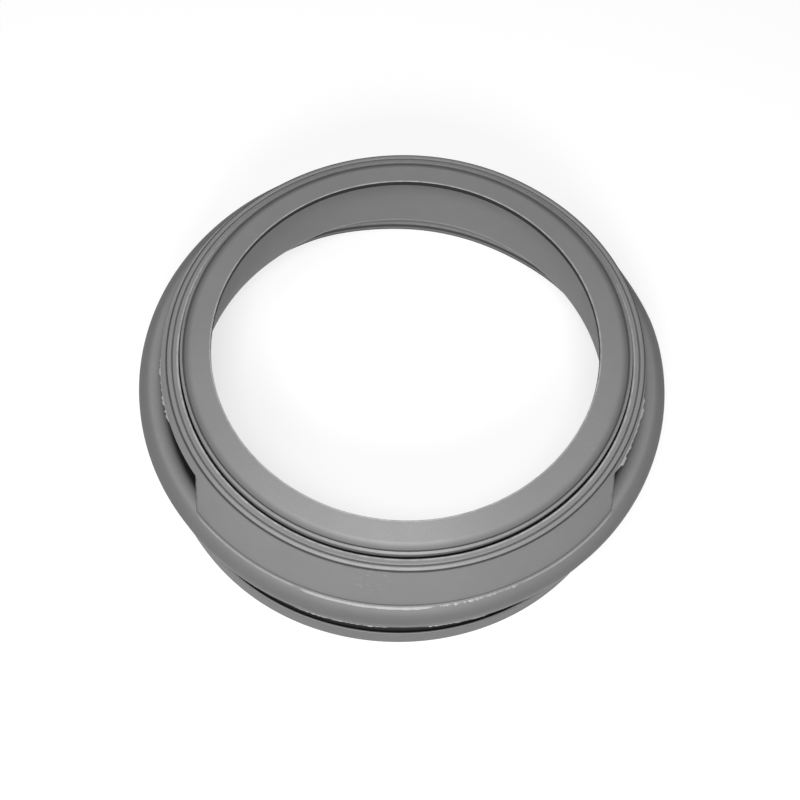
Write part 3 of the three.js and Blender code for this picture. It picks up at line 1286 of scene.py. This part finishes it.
@dataclass(frozen=True)
class RubberFinish:
    """Finish of the moulded rubber: grey, satin, faintly clouded and grained, with painted shade and painted
    highlights where they are listed.
    """

    name: str
    colour: float = 0.192
    roughness: float = 0.42
    specular: float = 0.5
    contrast: float = 0.22
    mottle_scale: float = 7.0
    grain_scale: float = 2600.0
    grain_depth: float = 0.03 * MM
    mark_spacing: float = 1.4 * MM
    mark_depth: float = 0.006 * MM
    powder: float = 0.18
    powder_scale: float = 900.0
    # Painted highlight lines: how much they lighten the grey and lower the roughness.
    rub_lift: float = 0.2
    rub_gloss: float = 0.18
    # Painted shade: the grey it darkens towards and the roughness it adds.
    dull_colour: float = 0.006
    dull_rough: float = 0.4
    powder_lift: float = 0.25
    powder_rough: float = 0.3
    scuff_lift: float = 0.1
    scuff_rough: float = 0.2
    scuff_depth: float = 0.08 * MM
    tone_rough: float = 0.5
    recesses: tuple[PaintedShade, ...] = ()
    rubbed: tuple[PaintedHighlight, ...] = ()
    scuffed: tuple[Scuff, ...] = ()

    @staticmethod
    def use(maker: TreeMaker, group: Tree, values: dict) -> Socket:
        """Places a shader group with its values and returns its output."""
        return maker.put(maker.add("ShaderNodeGroup", node_tree=group), values).outputs[0]

    @staticmethod
    def largest(maker: TreeMaker, masks: Sequence[Value]) -> Value:
        """Joins several masks into one by taking the largest value."""
        joined = masks[0] if masks else 0.0
        for mask in masks[1:]:
            joined = maker.math("MAXIMUM", joined, mask)
        return joined

    def material(self, effects: SurfaceEffects) -> bpy.types.Material:
        """Builds the material.

        Args:
            effects: The shared shader groups.

        Returns:
            The material, with colour, roughness and bump from its nodes.
        """
        material = bpy.data.materials.new(self.name)
        material.use_nodes = True
        maker = TreeMaker(material.node_tree)
        tone = self.use(maker, effects.mottle, {"Scale": self.mottle_scale, "Contrast": self.contrast})
        skin = self.use(maker, effects.skin, {
            "Grain Scale": self.grain_scale,
            "Grain Depth": self.grain_depth,
            "Mark Spacing": self.mark_spacing,
            "Mark Depth": self.mark_depth,
        })
        powder = self.use(maker, effects.dust, {"Scale": self.powder_scale, "Amount": self.powder})
        # Painted shade in recesses, under the bulge and over the bulge and flange.
        painted_shade = self.largest(maker, [
            self.use(maker, effects.recess, r.inputs())
            for r in self.recesses
        ])
        # Painted highlights along edges of lip, rim, fold, neck and bulge.
        painted_highlight = self.largest(maker, [
            self.use(maker, effects.ring_line, {
                "Radius": line.radius, "Height": line.height, "Reach": line.reach, "Amount": line.amount,
            })
            for line in self.rubbed
        ])
        scuff = self.largest(maker, [
            self.use(maker, effects.scuffs, {
                **dict(zip("XYZ", s.place)), "Reach": s.reach, "Scale": s.scale,
            })
            for s in self.scuffed
        ])
        grey = maker.times(tone, self.colour)
        # The painted highlights lighten the grey; powder and scuffs lighten it too.
        for mask, lift in ((painted_highlight, self.rub_lift), (powder, self.powder_lift), (scuff, self.scuff_lift)):
            grey = maker.math("MULTIPLY_ADD", mask, lift, grey)
        # Painted shade darkens the grey towards its own colour.
        faded = maker.math("SUBTRACT", 1.0, painted_shade)
        grey = maker.math("MULTIPLY_ADD", grey, faded, maker.times(painted_shade, self.dull_colour))
        colour = maker.put(maker.add("ShaderNodeCombineColor"), {0: grey, 1: grey, 2: grey}).outputs[0]
        paler = maker.math("SUBTRACT", 1.0, tone)
        rough = maker.math("MULTIPLY_ADD", paler, self.tone_rough, self.roughness)
        changes = (
            (powder, self.powder_rough),
            (painted_shade, self.dull_rough),
            (scuff, self.scuff_rough),
            (painted_highlight, -self.rub_gloss),
        )
        for mask, change in changes:
            rough = maker.math("MULTIPLY_ADD", mask, change, rough)
        depth = maker.math("MULTIPLY_ADD", scuff, -self.scuff_depth, skin)
        bump = maker.put(maker.add("ShaderNodeBump"), {"Height": depth, "Distance": 1.0, "Strength": 1.0})
        maker.put(material.node_tree.nodes["Principled BSDF"], {
            "Base Color": colour,
            "Roughness": rough,
            "Normal": bump.outputs[0],
            "Specular IOR Level": self.specular,
        })
        return material


def rim_painted_shades(s: SealSizes) -> tuple[PaintedShade, ...]:
    """Where shade is painted on lip and rim.

    Args:
        s: The seal's sizes.

    Returns:
        The clamp slit, the crease beside the bead, the lip's hollow, both score lines and the cut face.
    """
    bead = s.bead_inner
    # Each entry paints shade into the skin there: slit, crease, hollow, score lines and the lip's cut face.
    return (
        PaintedShade(Span(s.slit_inner, -3, s.slit_outer, 0.5), Span(s.rim_top, -12, s.rim_top, -0.3), 0.4),
        PaintedShade(Span(bead, -2, bead, 0.6), Span(s.crease, -3, s.crease, 1), 1, 0.75),
        PaintedShade(Span(bead, -6.5, bead, 3), Span(s.crease, -6, s.crease, 6), 5, 0.45),
        PaintedShade(Span(s.inner_score, -0.9, s.inner_score, 0.9), Span(s.rim_top, -3, s.rim_top, 1), 0.7, 0.5),
        PaintedShade(Span(s.outer_score, -0.9, s.outer_score, 1.1), Span(s.rim_top, -4, s.rim_top, 1), 0.7, 0.75),
        PaintedShade(Span(s.opening, -1, s.opening, 0.35), Span(s.depth - s.lip_edge, -1, s.depth, -0.3), 0.3),
    )


def rear_painted_shades(s: SealSizes, fold: float) -> tuple[PaintedShade, ...]:
    """Where shade is painted behind the rim.

    Args:
        s: The seal's sizes.
        fold: Height of the fold's lowest point.

    Returns:
        The channel, the groove, the gap and the line under the neck's inner wall, the fold's underside, the
        web's seam, the bulge's skin and its flank, and the flange's skin.
    """
    neck, bulge, flange, seat = s.neck_inner, s.bulge_radius, s.flange_outer, s.web_seat
    beyond = 2 * bulge
    web_back = -math.sqrt(seat.x ** 2 - (s.web_width / 2) ** 2)
    # Each entry paints shade into the skin there, in recesses, under the bulge and over the bulge and
    # flange.
    return (
        PaintedShade(Span(s.sleeve_outer, -1, bulge, -11.5), Span(s.bulge_bottom, -5, s.crest_top, 0), 6),
        PaintedShade(Span(neck, 2, flange, -1.2), Span(s.flange_top, -8, s.bulge_bottom, 1.5), 1),
        PaintedShade(Span(neck, -2, neck, 1.5), Span(0, 3.2, 0, 8), 1.4, 0.75),
        PaintedShade(Span(neck, -2, neck, 1), Span(0, -2, 0, 1.6), 0.8, 0.9),
        PaintedShade(Span(s.sleeve_inner, -2, s.sleeve_outer, 14), Span(fold, -3, fold, 1.4), 0.8, 0.9),
        PaintedShade(Span(seat.x, -0.4, seat.x, 0.8), Span(seat.y, -1, seat.y, 2), 0.5, 0.55, web_back),
        PaintedShade(Span(bulge, -10, beyond, 0), Span(s.bulge_bottom, 2, s.crest_top, 1), 2.5, 0.33),
        PaintedShade(Span(bulge, -4, beyond, 0), Span(s.bulge_bottom, 3, s.crest_top, -8), 5, 0.6),
        PaintedShade(Span(flange, -1, beyond, 0), Span(0, -10, s.flange_top, 2), 1, 0.2),
    )


def seal_rubber(s: SealSizes) -> RubberFinish:
    """The ring's own finish: where shade and highlights are painted on it, and where it is creased.

    Args:
        s: The seal's sizes.

    Returns:
        The finish.
    """
    fold_bottom = s.rim_top - s.sleeve_length
    return RubberFinish(
        "satin_rubber",
        # Painted shade of lip, rim and the parts behind it.
        recesses=rim_painted_shades(s) + rear_painted_shades(s, fold_bottom),
        # Painted highlights along the lip's edge, the bead, the slit's edge, the outer band, the fold, low
        # on the neck's inner wall and the bulge's lower edge.
        rubbed=(
            PaintedHighlight(s.opening + 0.5 * MM, s.depth, 1.1 * MM, 1.0),
            PaintedHighlight(s.bead_inner + 1.2 * MM, s.crease + s.bead_rise, 1.6 * MM, 0.35),
            PaintedHighlight(s.slit_outer + 1.1 * MM, s.rim_top, 1.0 * MM, 1.0),
            PaintedHighlight(s.inner_score + 2 * MM, s.rim_top, 1.4 * MM, 0.1),
            PaintedHighlight(s.sleeve_inner, fold_bottom + 4.5 * MM, 3.5 * MM, 0.4),
            PaintedHighlight(s.neck_inner, 9.5 * MM, 2.2 * MM, 0.7),
            PaintedHighlight(s.bulge_radius - s.bulge_taper, s.bulge_bottom + 4.5 * MM, 1.6 * MM, 0.7),
        ),
        scuffed=(
            Scuff((-26 * MM, -179 * MM, 107 * MM), 24 * MM, 190.0),
            Scuff((-55 * MM, -189 * MM, 62 * MM), 22 * MM, 420.0),
        ),
    )


@dataclass(frozen=True)
class Lamp:
    """A soft rectangular lamp: its direction in degrees, its distance and size in metres, its power."""

    name: str
    azimuth: float
    elevation: float
    distance: float
    size: tuple[float, float]
    watts: float

    def hang(self, target: Vector) -> None:
        """Hangs the lamp in its direction from the ring, facing the target."""
        data = bpy.data.lights.new(self.name, "AREA")
        data.shape = "RECTANGLE"
        data.size, data.size_y = self.size
        data.energy = self.watts
        made = bpy.data.objects.new(self.name, data)
        bpy.context.scene.collection.objects.link(made)
        place = direction(math.radians(self.azimuth), math.radians(self.elevation)) * self.distance
        turn = (target - place).to_track_quat("-Z", "Y").to_matrix().to_4x4()
        made.matrix_world = Matrix.Translation(place) @ turn


def direction(azimuth: float, elevation: float) -> Vector:
    """The direction at an angle to the right of the near side and above the floor, both in radians."""
    level = math.cos(elevation)
    return Vector((math.sin(azimuth) * level, -math.cos(azimuth) * level, math.sin(elevation)))


def background_ray(maker: TreeMaker) -> Socket:
    """Adds a mask that is one for the rays which see the white background."""
    path = maker.add("ShaderNodeLightPath").outputs
    seen = maker.math("MAXIMUM", path["Is Camera Ray"], path["Is Glossy Ray"])
    return maker.math("MAXIMUM", seen, path["Is Transmission Ray"])


@dataclass
class Studio:
    """White floor, soft light and the photograph's camera."""

    distance: float = 1.2
    elevation: float = math.radians(62.5)
    azimuth: float = math.radians(-2.35)
    roll: float = math.radians(1.8)
    focal_length: float = 68.24
    sensor_width: float = 36.0
    aim: tuple[float, float, float] = (-0.0004, 0.0, 0.0284)
    floor_size: float = 12.0
    floor_colour: float = 0.35
    lift: float = 0.72
    fill: float = 0.08
    lit_height: float = 0.05
    lamps: tuple[Lamp, ...] = (
        Lamp("front_low", -2, 42, 2.2, (0.6, 0.5), 23),
        Lamp("front_high", -4, 66, 2.2, (0.6, 0.45), 21),
        Lamp("overhead", 0, 88, 2.0, (0.5, 0.4), 3),
        Lamp("left_side", -50, 62, 2.0, (0.6, 0.6), 7.5),
    )

    def camera(self) -> bpy.types.Object:
        """Places the camera where the photograph was taken from."""
        data = bpy.data.cameras.new("photo_camera")
        data.lens = self.focal_length
        data.sensor_width = self.sensor_width
        made = bpy.data.objects.new("photo_camera", data)
        bpy.context.scene.collection.objects.link(made)
        away = direction(self.azimuth, self.elevation)
        right = away.cross(Vector((0, 0, -1))).normalized()
        up = away.cross(right).normalized()
        across = right * math.cos(self.roll) + up * math.sin(self.roll)
        upward = up * math.cos(self.roll) - right * math.sin(self.roll)
        turn = Matrix((across, upward, away)).transposed().to_4x4()
        made.matrix_world = Matrix.Translation(Vector(self.aim) + away * self.distance) @ turn
        bpy.context.scene.camera = made
        return made

    def floor(self) -> bpy.types.Object:
        """Lays the white floor, which shows plain white but keeps the ring's shadow."""
        half = self.floor_size / 2
        mesh = bpy.data.meshes.new("floor")
        corners = [(-half, -half, 0), (half, -half, 0), (half, half, 0), (-half, half, 0)]
        mesh.from_pydata(corners, [], [(0, 1, 2, 3)])
        made = bpy.data.objects.new("floor", mesh)
        bpy.context.scene.collection.objects.link(made)
        material = bpy.data.materials.new("white_floor")
        material.use_nodes = True
        maker = TreeMaker(material.node_tree)
        shader = material.node_tree.nodes["Principled BSDF"]
        shade = self.floor_colour
        maker.put(shader, {
            "Base Color": (shade, shade, shade, 1),
            "Roughness": 0.9,
            "Specular IOR Level": 0.0,
            "Emission Color": (1, 1, 1, 1),
        })
        maker.put(shader, {"Emission Strength": maker.times(background_ray(maker), self.lift)})
        mesh.materials.append(material)
        return made

    def room(self) -> None:
        """Sets the world, which looks white and lights the ring only weakly."""
        world = bpy.data.worlds.new("studio")
        bpy.context.scene.world = world
        world.use_nodes = True
        maker = TreeMaker(world.node_tree)
        strength = maker.math("MULTIPLY_ADD", background_ray(maker), 1 - self.fill, self.fill)
        maker.put(world.node_tree.nodes["Background"], {"Color": (1, 1, 1, 1), "Strength": strength})

    def build(self) -> None:
        """Sets up the camera, the floor, the lamps and the room."""
        bpy.context.scene.view_settings.view_transform = "Standard"
        self.camera()
        self.floor()
        for lamp in self.lamps:
            lamp.hang(Vector((0, 0, self.lit_height)))
        self.room()


def settle(piece: bpy.types.Object) -> None:
    """Makes a piece ride with the seal's one body."""
    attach(piece, BODY)


def main() -> None:
    """Builds the studio and the seal, in order."""
    logging.basicConfig(level=logging.INFO, format="%(name)s: %(message)s")
    Studio().build()
    sizes = SealSizes()
    shape = RelaxedShape(sizes)
    relaxed_shape = shape.tree()
    effects = SurfaceEffects()
    ring = SealRing(sizes, shape).build(seal_rubber(sizes).material(effects), relaxed_shape)
    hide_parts(NODE)
    settle(ring)
    torn_rubber = RubberFinish("flash_rubber", colour=0.3, roughness=0.4, grain_scale=1500.0, contrast=0.4)
    flash_material = torn_rubber.material(effects)
    flash_tree = PartingFlash.tree(relaxed_shape, shape.inputs())
    for line in flash_lines(sizes):
        settle(line.build(flash_tree, flash_material))


if __name__ == "__main__":
    main()
